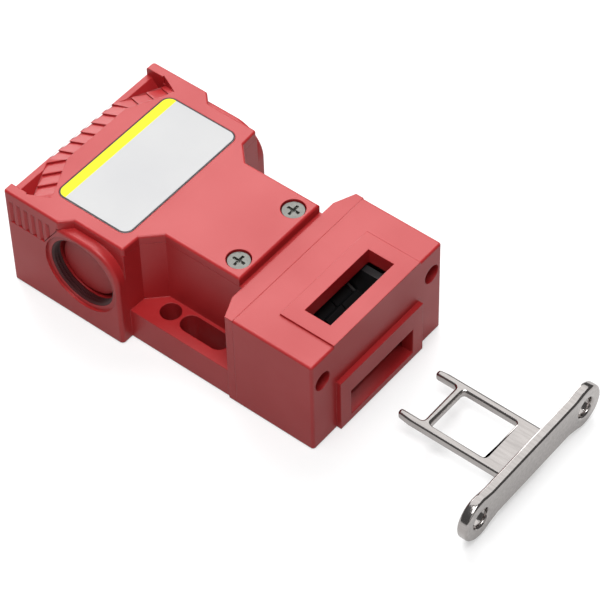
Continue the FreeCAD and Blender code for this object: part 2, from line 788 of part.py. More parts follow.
def make_head():
    """The head cover, open to the rear, with a top and a front mouth for the tongue."""
    body = new_body("head_body")
    pad(body, polygon(body, "XY_Plane", "0",
                      mirrored([("head_joint", "head_half"), ("head_front", "head_half")])),
        "head_top")
    round_upright(body, [("head_front", "head_half")])
    joint = size("head_joint")
    round_edges(body, "edge_round",
                lambda edge: edge.CenterOfMass.z > size("head_top") - 0.001
                and edge.CenterOfMass.x > joint + 0.001)
    pad(body, polygon(body, "XY_Plane", "0",
                      mirrored([("top_pad_rear", "top_pad_half"),
                                ("head_front", "top_pad_half")])),
        "head_top + top_pad_rise")
    pad(body, polygon(body, "YZ_Plane", "head_front - 1",
                      box(("-front_pad_half", "0"), ("front_pad_half", "front_pad_top"))),
        "front_pad_rise + 1")
    room = box(("-head_half + head_wall", "head_wall"),
               ("head_half - head_wall", "head_top - head_wall"))
    pocket(body, polygon(body, "YZ_Plane", "head_joint", room),
           "head_front - head_wall - head_joint", flipped=True)
    mouth_rear = f"{CAM_X} + cam_over_tongue - mouth_width / 2"
    mouth_front = f"{CAM_X} + cam_over_tongue + mouth_width / 2"
    collar = mirrored([(f"{mouth_rear} - collar_wall", "mouth_half + collar_wall"),
                       ("head_front - 1", "mouth_half + collar_wall")])
    pad(body, polygon(body, "XY_Plane", "head_top + top_pad_rise - mouth_depth", collar),
        "mouth_depth - 1")
    for side in ("1", "-1"):
        boss = circle(body, "YZ_Plane", "head_joint",
                      (f"{side} * head_screw_half", "head_screw_level"), "head_boss_radius")
        pad(body, boss, "head_front - 1 - head_joint")
        hole = circle(body, "YZ_Plane", "head_joint",
                      (f"{side} * head_screw_half", "head_screw_level"),
                      "head_screw_radius + screw_gap")
        pocket(body, hole, "head_front - head_joint + 1", flipped=True)
        seat = circle(body, "YZ_Plane", "head_screw_seat",
                      (f"{side} * head_screw_half", "head_screw_level"),
                      "head_screw_head + screw_gap")
        pocket(body, seat, "head_front - head_screw_seat + 1", flipped=True)
    top_mouth = mirrored([(mouth_rear, "mouth_half"), (mouth_front, "mouth_half")])
    pocket(body, polygon(body, "XY_Plane", "head_top + top_pad_rise", top_mouth),
           "mouth_depth + 0.5")
    front_mouth = box(("-mouth_half", f"{TONGUE_LEVEL} - mouth_height / 2"),
                      ("mouth_half", f"{TONGUE_LEVEL} + mouth_height / 2"))
    pocket(body, polygon(body, "YZ_Plane", "head_front + front_pad_rise", front_mouth),
           "front_pad_rise + head_wall + 0.5")
    return body


def make_head_screws():
    """The two long screws that clamp the head cover to the base's front wall."""
    shapes = []
    for side in (1, -1):
        start = Vector(size("head_screw_seat") + 2.0, side * size("head_screw_half"),
                       size("head_screw_level"))
        shank = size("head_screw_seat - head_joint + head_thread_len") - 0.2
        shapes.append(screw(start, Vector(-1, 0, 0), size("head_screw_head"), 2.0,
                            size("head_screw_radius"), shank))
    return solid_piece("head_screws", Part.makeCompound(shapes))


def make_cam_cage():
    """The black cage inside the head: a floor and two cheeks that carry the cam axle."""
    low = size("head_wall + cage_gap")
    rear = size("cage_rear")
    front = size("head_front - head_wall - cage_setback")
    inner = size("cage_inner")
    outer = inner + size("cage_wall")
    floor_top = size(f"{TONGUE_LEVEL} - key_thick / 2 - cam_gap")
    top = size("cage_top")
    low = max(low, size("front_room_low + cage_gap"))
    shape = block((rear, front), (-outer, outer), (low, floor_top))
    for side in (1, -1):
        cheek = block((rear, front), sorted((side * inner, side * outer)), (low, top))
        shape = shape.fuse(cheek)
    centre = Vector(size(CAM_X), 0, size(CAM_LEVEL))
    reach = Vector(0, outer + 1, 0)
    shape = shape.cut(rod(size("axle_radius + axle_gap"), centre - reach, centre + reach))
    return solid_piece("cam_cage", shape)


def polar(radius, degrees):
    """A point of the cam's plane, at an angle measured from +X towards +Z."""
    angle = math.radians(degrees)
    return Vector(radius * math.cos(angle), 0, radius * math.sin(angle))


def rim_arc(radius, first, last):
    """An arc about the cam centre between two angles."""
    middle = (first + last) / 2
    return Part.Arc(polar(radius, first), polar(radius, middle), polar(radius, last)).toShape()


def bar_sweep():
    """The angles, in the cam's own frame, that the tongue's crossbar passes through."""
    gap = size("cam_gap")
    half = size("key_bar") / 2 + gap
    travel = size(KEY_TRAVEL)
    start = size(f"{KEY_REST} - key_plate - key_root - key_window - key_bar / 2 - {CAM_X}")
    over = size("cam_over_tongue")
    levels = (-over - size("key_thick / 2"), -over + size("key_thick / 2") + gap)
    angles = []
    for step in range(201):
        slide = travel * step / 200
        turned = size("cam_turn") * step / 200
        for edge in (-half, half):
            for level in levels:
                spot = start - slide + edge
                if math.hypot(spot, level) < size("cam_radius") + gap:
                    angles.append(math.degrees(math.atan2(level, spot)) + turned)
    return min(angles), max(angles)


def make_cam(label, near, far):
    """One cam disc: a snail ramp for the plunger and two notches for the tongue's crossbar."""
    radius = size("cam_radius")
    low = radius - size("plunger_stroke")
    first, last = bar_sweep()
    floor = size("cam_over_tongue - key_thick / 2 - cam_gap")
    ramp_end = 180 + size("cam_turn")
    nose = size("cam_nose")
    edges = []
    edges.append(rim_arc(radius, last + 90, 180 - nose))
    steps = 12
    ramp = [polar(radius, 180 - nose)]
    for step in range(1, steps + 1):
        share = step / steps
        ramp.append(polar(radius - share * (radius - low), 180 + share * size("cam_turn")))
    curve = Part.BSplineCurve()
    curve.interpolate(ramp)
    edges.append(curve.toShape())
    edges.append(rim_arc(low, ramp_end, ramp_end + nose))
    edges.append(Part.makeLine(polar(low, ramp_end + nose), polar(radius, ramp_end + nose)))
    edges.append(rim_arc(radius, ramp_end + nose, first + 360))
    edges.append(Part.makeLine(polar(radius, first), polar(floor, first)))
    edges.append(rim_arc(floor, first, last))
    edges.append(Part.makeLine(polar(floor, last), polar(radius, last)))
    edges.append(rim_arc(radius, last, first + 90))
    edges.append(Part.makeLine(polar(radius, first + 90), polar(floor, first + 90)))
    edges.append(rim_arc(floor, first + 90, last + 90))
    edges.append(Part.makeLine(polar(floor, last + 90), polar(radius, last + 90)))
    face = Part.Face(Part.Wire(Part.__sortEdges__(edges)))
    disc = face.extrude(Vector(0, far - near, 0))
    disc.translate(Vector(0, near, 0))
    bore = rod(size("axle_radius + axle_gap"), Vector(0, near - 1, 0), Vector(0, far + 1, 0))
    disc = disc.cut(bore)
    disc.translate(Vector(size(CAM_X), 0, size(CAM_LEVEL)))
    return solid_piece(label, disc)


KEY_REST = ("(head_front + front_pad_rise + key_rest_gap + key_tip + key_bar + key_window"
            " + key_root + key_plate)")
KEY_TRAVEL = (f"({KEY_REST} - key_plate - key_stop_gap - head_front - front_pad_rise)")


def make_axle():
    """The steel axle of the cams."""
    reach = size("cage_inner + cage_wall")
    centre = Vector(size(CAM_X), 0, size(CAM_LEVEL))
    span = Vector(0, reach, 0)
    return solid_piece("cam_axle", rod(size("axle_radius"), centre - span, centre + span))


def make_cam_spring():
    """The torsion coil beside the cams."""
    start = Vector(size(CAM_X), size("cam_half") + 0.3, size(CAM_LEVEL))
    shape = coil(size("coil_radius"), size("coil_wire"), start,
                 size("cage_inner - cam_half") - 0.6, 2, Vector(0, 1, 0))
    return solid_piece("cam_spring", shape)


# ---------------------------------------------------------------- tongue key


def make_key():
    """The tongue key: a plate with two holes and a ladder-shaped tongue, in its withdrawn place."""
    body = new_body("tongue_key")
    plate_back = f"{KEY_REST} - key_plate"
    middle = [
        ("-key_hole_half", f"{TONGUE_LEVEL} + key_lobe"),
        ("-key_hole_half", f"{TONGUE_LEVEL} - key_lobe"),
        ("-0.68 * key_hole_half", f"{TONGUE_LEVEL} - key_low"),
        ("0.68 * key_hole_half", f"{TONGUE_LEVEL} - key_low"),
        ("key_hole_half", f"{TONGUE_LEVEL} - key_lobe"),
        ("key_hole_half", f"{TONGUE_LEVEL} + key_lobe"),
        ("0.78 * key_hole_half", f"{TONGUE_LEVEL} + key_top"),
        ("-0.78 * key_hole_half", f"{TONGUE_LEVEL} + key_top"),
    ]
    pad(body, polygon(body, "YZ_Plane", plate_back, middle), "key_plate")
    for side in ("1", "-1"):
        lobe = circle(body, "YZ_Plane", plate_back, (f"{side} * key_hole_half", TONGUE_LEVEL),
                      "key_lobe")
        pad(body, lobe, "key_plate")
    for side in ("1", "-1"):
        hole = circle(body, "YZ_Plane", plate_back, (f"{side} * key_hole_half", TONGUE_LEVEL),
                      "key_hole_radius")
        pocket(body, hole, "key_plate", flipped=True)
    tips = f"{plate_back} - key_root - key_window - key_bar - key_tip"
    tongue = mirrored([(tips, "key_half - 0.4"),
                       (f"{tips} + key_tip_taper", "key_half"),
                       (f"{plate_back} + 1", "key_half")])
    pad(body, polygon(body, "XY_Plane", f"{TONGUE_LEVEL} - key_thick / 2", tongue), "key_thick")
    low = f"{TONGUE_LEVEL} - key_thick"
    window = mirrored([(f"{plate_back} - key_root - key_window", "key_half - key_leg"),
                       (f"{plate_back} - key_root", "key_half - key_leg")])
    pocket(body, polygon(body, "XY_Plane", low, window), "2 * key_thick", flipped=True)
    fork = mirrored([(f"{tips} - 1", "key_half - key_leg"),
                     (f"{tips} + key_tip", "key_half - key_leg")])
    pocket(body, polygon(body, "XY_Plane", low, fork), "2 * key_thick", flipped=True)
    return body


# ---------------------------------------------------------------- plunger and contacts

NOSE_TIP = f"({CAM_X} - cam_radius - cam_gap)"
CARRIER_FRONT = "(carrier_rear + carrier_len)"
CARRIER_HALF = "(pole_pitch + bridge_width / 2 + window_gap + carrier_side)"


def make_plunger():
    """The plunger: a round rod with a blade nose that rides on the cams."""
    level = size(CAM_LEVEL)
    tip = size(NOSE_TIP)
    half = size("nose_half")
    edge = size("nose_thick")
    rear = size(CARRIER_FRONT)
    shape = rod(size("plunger_radius"), Vector(rear, 0, level),
                Vector(tip - size("nose_len"), 0, level))
    blade = block((tip - size("nose_len"), tip - edge / 2), (-half, half),
                  (level - edge, level + edge))
    tip_roll = rod(edge / 2, Vector(tip - edge / 2, -half, level),
                   Vector(tip - edge / 2, half, level))
    return solid_piece("plunger", shape.fuse([blade, tip_roll]))


def make_plunger_seal():
    """The rubber ring round the plunger on the partition's front face."""
    level = size(CAM_LEVEL)
    rear = size("partition_front")
    start = Vector(rear, 0, level)
    end = Vector(rear + size("lip_len"), 0, level)
    shape = rod(size("lip_radius"), start, end).cut(
        rod(size("plunger_radius + 2 * plunger_gap"), start, end))
    return solid_piece("plunger_seal", shape)


def pole_places():
    """The Y places of the three poles."""
    pitch = size("pole_pitch")
    return (-pitch, 0.0, pitch)


def make_contact_tray():
    """The contact block's tray with its stepped terminal shelf and pole partitions."""
    half = size(TRAY_HALF)
    wall = size("tray_wall")
    rear = size("tray_rear")
    front = size("tray_front")
    low = size("tray_low")
    high = size("tray_high")
    lower = size("lower_strip")
    upper = size("upper_strip")
    level = size(CAM_LEVEL)
    stop = size("spring_seat")
    shape = block((rear, front), (-half, half), (low, high))
    shape = shape.cut(block((stop, front - wall), (wall - half, half - wall),
                            (low + wall, high + 1)))
    shape = shape.cut(block((rear - 1, stop + 1), (wall - half, half - wall),
                            (upper, high + 1)))
    shape = shape.fuse(block((size("shelf_rear"), rear + 1), (-half, half), (low, lower)))
    clear = size("plunger_radius") + 0.3
    shape = shape.cut(rod(clear, Vector(front - wall - 1, 0, level), Vector(front + 1, 0, level)))
    strip = size("strip_width / 2 + strip_gap")
    for place in pole_places():
        shape = shape.cut(block((rear - 1, front - wall), (place - strip, place + strip),
                                (lower, lower + size("strip_thick + strip_gap"))))
    rail = block((stop - 1, front - wall), (-half + wall, -size(CARRIER_HALF + " + carrier_gap")),
                 (low, level - size("carrier_height / 2 + carrier_gap")))
    shape = shape.fuse(rail)
    shape = shape.fuse(rail.mirror(Vector(0, 0, 0), Vector(0, 1, 0)))
    return solid_piece("contact_tray", shape)


def make_contact_cover():
    """The plate that closes the contact tray."""
    high = size("tray_high")
    half = size(TRAY_HALF)
    shape = block((size("tray_rear") + 7.5, size("tray_front")), (-half, half),
                  (high, high + size("cover_thick")))
    return solid_piece("contact_cover", shape)


def bridge_face(closing):
    """The X place of a bridge's contact side: front for closing poles, rear for the opening one."""
    if closing:
        return size(f"{CARRIER_FRONT} - window_margin - 0.3")
    return size("carrier_rear + window_margin + 0.3")


def make_carrier():
    """The sliding contact carrier with one window for each bridge."""
    level = size(CAM_LEVEL)
    tall = size("carrier_height")
    rear = size("carrier_rear")
    front = size(CARRIER_FRONT)
    half = size(CARRIER_HALF)
    margin = size("window_margin")
    shape = block((rear, front), (-half, half), (level - tall / 2, level + tall / 2))
    width = size("bridge_width / 2 + window_gap")
    for place in pole_places():
        shape = shape.cut(block((rear + margin, front - margin), (place - width, place + width),
                                (level - tall, level + tall)))
    return solid_piece("contact_carrier", shape)


def make_bridges():
    """The three moving bridges, each with two silver pads."""
    level = size(CAM_LEVEL)
    reach = size("bridge_reach")
    half = size("bridge_width") / 2
    thick = size("bridge_thick")
    pad_len = size("pad_thick")
    shapes = []
    for place, closing in zip(pole_places(), (True, False, True)):
        face = bridge_face(closing)
        side = 1 if closing else -1
        span = sorted((face, face - side * thick))
        bridge = block(span, (place - half, place + half),
                       (level - reach - 1.2, level + reach + 1.2))
        for lift in (-reach, reach):
            start = Vector(face, place, level + lift)
            bridge = bridge.fuse(prism(size("pad_radius"), start,
                                       start + Vector(side * pad_len, 0, 0)))
        shapes.append(bridge)
    return solid_piece("moving_bridges", Part.makeCompound(shapes))


def make_fixed_contacts():
    """Six terminal strips, each with an upturned or downturned leg that carries a pad."""
    level = size(CAM_LEVEL)
    reach = size("bridge_reach")
    thick = size("strip_thick")
    half = size("strip_width") / 2
    pad_len = size("pad_thick")
    stroke = size("plunger_stroke")
    gap = size("open_gap")
    shapes = []
    for place, closing in zip(pole_places(), (True, False, True)):
        face = bridge_face(closing)
        if closing:
            leg = face + pad_len + stroke + gap + pad_len
            span = (leg, leg + thick)
        else:
            leg = face - pad_len - gap - pad_len
            span = (leg - thick, leg)
        side = 1 if closing else -1
        for upper in (True, False):
            bottom = size("upper_strip") if upper else size("lower_strip")
            rear = size("tray_rear") + 0.4 if upper else size("shelf_rear") + 0.4
            strip = block((rear, span[1]), (place - half, place + half),
                          (bottom, bottom + thick))
            spot = level + reach if upper else level - reach
            if upper:
                leg_span = (spot - 1.2, bottom + thick)
            else:
                leg_span = (bottom, spot + 1.2)
            shape = strip.fuse(block(span, (place - 2.0, place + 2.0), leg_span))
            start = Vector(leg, place, spot)
            shape = shape.fuse(prism(size("pad_radius"), start,
                                     start - Vector(side * pad_len, 0, 0)))
            shapes.append(shape)
    return solid_piece("fixed_contacts", Part.makeCompound(shapes))


def terminal_places():
    """The seat point of every terminal, on top of its strip."""
    thick = size("strip_thick")
    for place in pole_places():
        yield Vector(size("terminal_rear_high"), place, size("upper_strip") + thick)
        yield Vector(size("terminal_rear_low"), place, size("lower_strip") + thick)


def make_clamps():
    """The six square wire clamps."""
    half = size("clamp_half")
    shapes = []
    for seat in terminal_places():
        plate = block((seat.x - half, seat.x + half), (seat.y - half, seat.y + half),
                      (seat.z, seat.z + size("clamp_thick")))
        shapes.append(plate)
    return solid_piece("wire_clamps", Part.makeCompound(shapes))


def make_terminal_screws():
    """The six terminal screws, seated on their clamps."""
    shapes = []
    head = size("terminal_head")
    for seat in terminal_places():
        start = Vector(seat.x, seat.y, seat.z + size("clamp_thick") + head)
        shapes.append(prism(size("terminal_radius"), start, start - Vector(0, 0, head), 12))
    return solid_piece("terminal_screws", Part.makeCompound(shapes))


def make_contact_springs():
    """The short springs that press the bridges in their windows."""
    level = size(CAM_LEVEL)
    margin = size("window_margin")
    wire = 0.5
    shapes = []
    for place, closing in zip(pole_places(), (True, False, True)):
        if closing:
            start = size("carrier_rear") + margin
            end = bridge_face(True) - size("bridge_thick")
        else:
            start = bridge_face(False) + size("bridge_thick")
            end = size(CARRIER_FRONT) - margin
        shapes.append(coil(1.4, wire, Vector(start, place, level), end - start, 3,
                           Vector(1, 0, 0)))
    return solid_piece("contact_springs", Part.makeCompound(shapes))


def make_plunger_spring():
    """The return spring behind the contact carrier."""
    start = size("spring_seat")
    shape = coil(size("spring_radius"), size("spring_wire"),
                 Vector(start, 0, size(CAM_LEVEL)), size("carrier_rear") - start, 5,
                 Vector(1, 0, 0))
    return solid_piece("plunger_spring", shape)


make_base()
make_gasket()
make_lid()
make_label()
make_lid_screws()
make_head()
make_head_screws()
make_cam_cage()
make_cam("cam_left", size("cam_split") / 2, size("cam_half"))
make_cam("cam_right", -size("cam_half"), -size("cam_split") / 2)
make_axle()
make_cam_spring()
make_key()
make_plunger()
make_plunger_seal()
make_contact_tray()
make_contact_cover()
make_carrier()
make_bridges()
make_fixed_contacts()
make_clamps()
make_terminal_screws()
make_contact_springs()
make_plunger_spring()

doc.recompute()

for item in doc.Objects:
    if "Invalid" in item.State or "Error" in item.State:
        raise RuntimeError(f"{item.Label} failed: {item.State}")
os.makedirs("parts", exist_ok=True)
for piece in pieces:
    if piece.Shape.isNull() or not piece.Shape.isValid():
        raise RuntimeError(f"{piece.Label} has no valid shape")
    print(f"{piece.Label:18s} {len(piece.Shape.Solids)} solids {piece.Shape.Volume:10.1f} mm3")
    piece.Shape.exportStep(f"parts/{piece.Label}.step")
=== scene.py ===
"""Looks of the tongue interlock switch: materials, soft edges, printed plate, light and camera."""
import math

import bmesh
import bpy
from mathutils import Matrix, Vector


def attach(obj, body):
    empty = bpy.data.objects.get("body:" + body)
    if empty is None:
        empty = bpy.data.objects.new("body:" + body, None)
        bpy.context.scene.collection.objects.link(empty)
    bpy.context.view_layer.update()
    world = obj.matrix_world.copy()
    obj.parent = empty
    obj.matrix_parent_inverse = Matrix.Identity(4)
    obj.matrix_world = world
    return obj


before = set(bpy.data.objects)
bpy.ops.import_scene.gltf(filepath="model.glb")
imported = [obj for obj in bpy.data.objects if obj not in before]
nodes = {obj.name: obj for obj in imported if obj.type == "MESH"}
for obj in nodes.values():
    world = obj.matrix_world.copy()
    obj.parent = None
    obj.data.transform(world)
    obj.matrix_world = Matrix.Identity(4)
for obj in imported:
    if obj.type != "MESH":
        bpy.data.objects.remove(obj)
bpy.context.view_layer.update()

MM = 0.001

# ---------------------------------------------------------------- materials

NOISE_RANGE = (0.3, 0.7)     # what the noise is taken to span
EDGE_SAMPLES = 6
CLOUD_SCALE, CLOUD_DETAIL = 45, 4
GRAIN_DETAIL, GRAIN_STRENGTH = 3, 0.5
SHEEN_RANGE = (-0.04, 0.05)  # how far the clouds move a plastic's roughness
SCRATCH_DETAIL, SCRATCH_STRENGTH, SCRATCH_SHADE = 4, 0.4, 0.82


def new_material(name, **values):
    """A material with one Principled shader whose uniform values are set on its sockets."""
    material = bpy.data.materials.new(name)
    material.use_nodes = True
    shader = material.node_tree.nodes["Principled BSDF"]
    for socket, value in values.items():
        shader.inputs[socket.replace("_", " ")].default_value = value
    return material, material.node_tree, shader


def add_node(tree, kind, **values):
    """A shader node with its settings."""
    node = tree.nodes.new(kind)
    for key, value in values.items():
        if key in node.inputs:
            node.inputs[key].default_value = value
        else:
            setattr(node, key, value)
    return node


def object_noise(tree, scale, detail, stretch=(1, 1, 1)):
    """Noise in the object's own coordinates, which are metres in the part's frame."""
    place = add_node(tree, "ShaderNodeTexCoord")
    mapping = add_node(tree, "ShaderNodeMapping")
    mapping.inputs["Scale"].default_value = stretch
    noise = add_node(tree, "ShaderNodeTexNoise", Scale=scale, Detail=detail)
    tree.links.new(place.outputs["Object"], mapping.inputs["Vector"])
    tree.links.new(mapping.outputs["Vector"], noise.inputs["Vector"])
    return noise


def remap(tree, source, low, high):
    """A noise value stretched to a new range."""
    node = add_node(tree, "ShaderNodeMapRange")
    node.inputs["From Min"].default_value = NOISE_RANGE[0]
    node.inputs["From Max"].default_value = NOISE_RANGE[1]
    node.inputs["To Min"].default_value = low
    node.inputs["To Max"].default_value = high
    tree.links.new(source, node.inputs["Value"])
    return node.outputs["Result"]


def mixed_colour(tree, source, first, second):
    """A colour between two, by a value."""
    node = add_node(tree, "ShaderNodeMix", data_type="RGBA")
    node.inputs[6].default_value = (*first, 1)
    node.inputs[7].default_value = (*second, 1)
    tree.links.new(source, node.inputs[0])
    return node.outputs[2]


def add_bump(tree, shader, source, distance, strength, edge=0.0):
    """A bump of a real height in metres, with the edges softened by a radius if there is one."""
    bump = add_node(tree, "ShaderNodeBump")
    if edge:
        softener = add_node(tree, "ShaderNodeBevel", Radius=edge, samples=EDGE_SAMPLES)
        tree.links.new(softener.outputs["Normal"], bump.inputs["Normal"])
    bump.inputs["Distance"].default_value = distance
    bump.inputs["Strength"].default_value = strength
    tree.links.new(source, bump.inputs["Height"])
    tree.links.new(bump.outputs["Normal"], shader.inputs["Normal"])


def moulded_plastic(name, colour, darker, roughness, grain=2600, height=0.00002, gloss=0.42,
                    edge=0.0):
    """Moulded plastic: a fine spark-eroded grain, cloudy sheen and slight colour drift."""
    material, tree, shader = new_material(name, Specular_IOR_Level=gloss)
    cloud = object_noise(tree, CLOUD_SCALE, CLOUD_DETAIL)
    shade = remap(tree, cloud.outputs["Fac"], 0, 1)
    tree.links.new(mixed_colour(tree, shade, colour, darker), shader.inputs["Base Color"])
    smooth, rough = (roughness + change for change in SHEEN_RANGE)
    tree.links.new(remap(tree, cloud.outputs["Fac"], smooth, rough), shader.inputs["Roughness"])
    grains = object_noise(tree, grain, GRAIN_DETAIL)
    add_bump(tree, shader, grains.outputs["Fac"], height, GRAIN_STRENGTH, edge)
    return material


def metal(name, colour, roughness, stretch=(1, 1, 1), scale=1500, spread=0.08,
          height=0.00001):
    """Worked metal with fine scratches along one direction."""
    material, tree, shader = new_material(name, Metallic=1.0)
    scratches = object_noise(tree, scale, SCRATCH_DETAIL, stretch)
    shade = remap(tree, scratches.outputs["Fac"], 0, 1)
    darker = tuple(channel * SCRATCH_SHADE for channel in colour)
    tree.links.new(mixed_colour(tree, shade, colour, darker), shader.inputs["Base Color"])
    tree.links.new(remap(tree, scratches.outputs["Fac"], roughness - spread / 2,
                         roughness + spread), shader.inputs["Roughness"])
    add_bump(tree, shader, scratches.outputs["Fac"], height, SCRATCH_STRENGTH)
    return material


EDGE_SOFTNESS = 0.3 * MM
PRINT = {"grain": 900, "height": 0.00001, "gloss": 0.15}    # the label's smooth film and inks

red = moulded_plastic("red_housing", (0.375, 0.016, 0.018), (0.34, 0.013, 0.015), 0.42,
                      edge=EDGE_SOFTNESS)
black = moulded_plastic("black_plastic", (0.010, 0.010, 0.011), (0.014, 0.014, 0.015), 0.5)
# the cams are black plastic, made darker and less glossy than the other black parts as painted
# shade in the top mouth
cam_black_painted_shade = moulded_plastic("cam_plastic", (0.004, 0.004, 0.0045), (0.006, 0.006, 0.0065), 0.5,
                            gloss=0.2)
rubber = moulded_plastic("seal_rubber", (0.014, 0.014, 0.014), (0.02, 0.02, 0.02), 0.75)
key_steel = metal("key_steel", (0.50, 0.47, 0.455), 0.13, stretch=(1, 9, 9), scale=120,
                  spread=0.04, height=0.000001)
screw_steel = metal("screw_steel", (0.30, 0.30, 0.28), 0.28)
dark_steel = metal("dark_steel", (0.06, 0.06, 0.065), 0.35)
spring_steel = metal("spring_steel", (0.55, 0.55, 0.55), 0.3)
brass = metal("contact_brass", (0.78, 0.60, 0.27), 0.3)
clamp_steel = metal("clamp_steel", (0.6, 0.6, 0.58), 0.35)
film = moulded_plastic("label_film", (0.62, 0.62, 0.62), (0.58, 0.58, 0.59), 0.4, **PRINT)
yellow = moulded_plastic("label_yellow", (0.68, 0.65, 0.003), (0.64, 0.60, 0.003), 0.4, **PRINT)
# the entry threads are the housing's red plastic, coloured far darker as painted shade in the bore
thread_red_painted_shade = moulded_plastic("thread_red_painted_shade", (0.05, 0.004, 0.005), (0.04, 0.003, 0.004), 0.5)
ink = moulded_plastic("label_ink", (0.03, 0.025, 0.03), (0.05, 0.045, 0.05), 0.5, **PRINT)

FINISH = {
    "base_housing": red, "lid": red, "head_body": red,
    "cam_cage": black, "contact_tray": black, "contact_cover": black,
    "contact_carrier": black, "plunger": black,
    "cam_left": cam_black_painted_shade, "cam_right": cam_black_painted_shade,
    "lid_gasket": rubber, "plunger_seal": rubber,
    "tongue_key": key_steel,
    "lid_screws": screw_steel, "head_screws": dark_steel, "terminal_screws": screw_steel,
    "cam_axle": screw_steel,
    "cam_spring": spring_steel, "plunger_spring": spring_steel,
    "contact_springs": spring_steel,
    "moving_bridges": brass, "fixed_contacts": brass,
    "wire_clamps": clamp_steel,
    "rating_plate": film,
}
for name, node in nodes.items():
    node.data.materials.clear()
    node.data.materials.append(FINISH[name])

# ---------------------------------------------------------------- soft edges

EDGE_RADIUS = {"tongue_key": 0.7 * MM, "lid_screws": 0.3 * MM}
FULL_BEVEL = ("tongue_key",)    # rounded by the whole radius, also where faces are narrow
JOIN_DISTANCE = 0.002 * MM
FLAT_ANGLE = math.radians(0.5)
SHARP_ANGLE = math.radians(35)
BEVEL_SEGMENTS = 3
NORMAL_WEIGHT = 60


def soften(name, radius):
    """Rounds the sharp edges of a metal node as tumbling leaves them."""
    piece = nodes[name]
    for polygon in piece.data.polygons:
        polygon.use_smooth = True
    weld = piece.modifiers.new("joined_faces", "WELD")
    weld.merge_threshold = JOIN_DISTANCE
    merge = piece.modifiers.new("whole_faces", "DECIMATE")
    merge.decimate_type = "DISSOLVE"
    merge.angle_limit = FLAT_ANGLE
    bevel = piece.modifiers.new("soft_edges", "BEVEL")
    bevel.width = radius
    bevel.segments = BEVEL_SEGMENTS
    bevel.limit_method = "ANGLE"
    bevel.angle_limit = SHARP_ANGLE
    bevel.miter_outer = "MITER_ARC"
    bevel.use_clamp_overlap = name not in FULL_BEVEL
    shading = piece.modifiers.new("face_shading", "WEIGHTED_NORMAL")
    shading.weight = NORMAL_WEIGHT


for name, radius in EDGE_RADIUS.items():
    soften(name, radius)

# ---------------------------------------------------------------- new pieces


def add_piece(name, data, material):
    """An object with a mesh and one material, in the scene."""
    piece = bpy.data.objects.new(name, data)
    bpy.context.scene.collection.objects.link(piece)
    data.materials.append(material)
    return piece


def finished_mesh(name, mesh):
    """The mesh data of a finished edit mesh."""
    data = bpy.data.meshes.new(name)
    mesh.to_mesh(data)
    mesh.free()
    return data


def node_corners(name):
    """The lowest and highest corners of a node, in metres in the part's frame."""
    corners = [nodes[name].matrix_world @ Vector(corner) for corner in nodes[name].bound_box]
    low = Vector([min(corner[axis] for corner in corners) for axis in range(3)])
    high = Vector([max(corner[axis] for corner in corners) for axis in range(3)])
    return low, high


# ---------------------------------------------------------------- printed label

LABEL_CORNER = 2.5 * MM
CORNER_STEPS = 8
STRIPE = 3.0 * MM
BORDER = 0.35 * MM
INK_RISE = 0.01 * MM


def rounded_rectangle(low, high, radius):
    """The points of a rounded rectangle, counter-clockwise from the low X, low Y corner."""
    centres = [(low[0] + radius, low[1] + radius, 180), (high[0] - radius, low[1] + radius, 270),
               (high[0] - radius, high[1] - radius, 0), (low[0] + radius, high[1] - radius, 90)]
    points = []
    for across, along, first in centres:
        for step in range(CORNER_STEPS + 1):
            angle = math.radians(first + 90 * step / CORNER_STEPS)
            points.append((across + radius * math.cos(angle), along + radius * math.sin(angle)))
    return points


def flat_piece(name, points, level, material, hole=None):
    """A flat printed area at a level, or the band between two outlines of as many points."""
    mesh = bmesh.new()
    outer = [mesh.verts.new((x, y, level)) for x, y in points]
    if hole is None:
        mesh.faces.new(outer)
    else:
        inner = [mesh.verts.new((x, y, level)) for x, y in hole]
        for index in range(len(outer)):
            after = (index + 1) % len(outer)
            mesh.faces.new((outer[index], outer[after], inner[after], inner[index]))
    piece = add_piece(name, finished_mesh(name, mesh), material)
    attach(piece, "switch_body")


def make_label_print():
    """The yellow band along the label's rear edge and the thin dark border round it."""
    low, high = node_corners("rating_plate")
    outline = rounded_rectangle(low, high, LABEL_CORNER)
    inner = rounded_rectangle((low.x + BORDER, low.y + BORDER),
                              (high.x - BORDER, high.y - BORDER), LABEL_CORNER - BORDER)
    flat_piece("label_border", outline, high.z + 2 * INK_RISE, ink, inner)
    cut = low.x + STRIPE
    band = [(min(x, cut), y) for x, y in outline]
    flat_piece("label_band", band, high.z + INK_RISE, yellow)


make_label_print()

# ---------------------------------------------------------------- cable entry threads, darkened as painted shade

# the entries' radius and axes, as in the part
ENTRY_RADIUS = 9.6 * MM
ENTRY_LEVEL = 16.4 * MM
ENTRY_BACK = -19.8 * MM

THREAD_DEPTH = 0.55 * MM
THREAD_GAP = 0.02 * MM
THREAD_PITCH = 0.9 * MM
THREAD_TURNS = 3
THREAD_START = 0.7 * MM
THREAD_SEGMENTS = 72
UP = Vector((0, 0, 1))


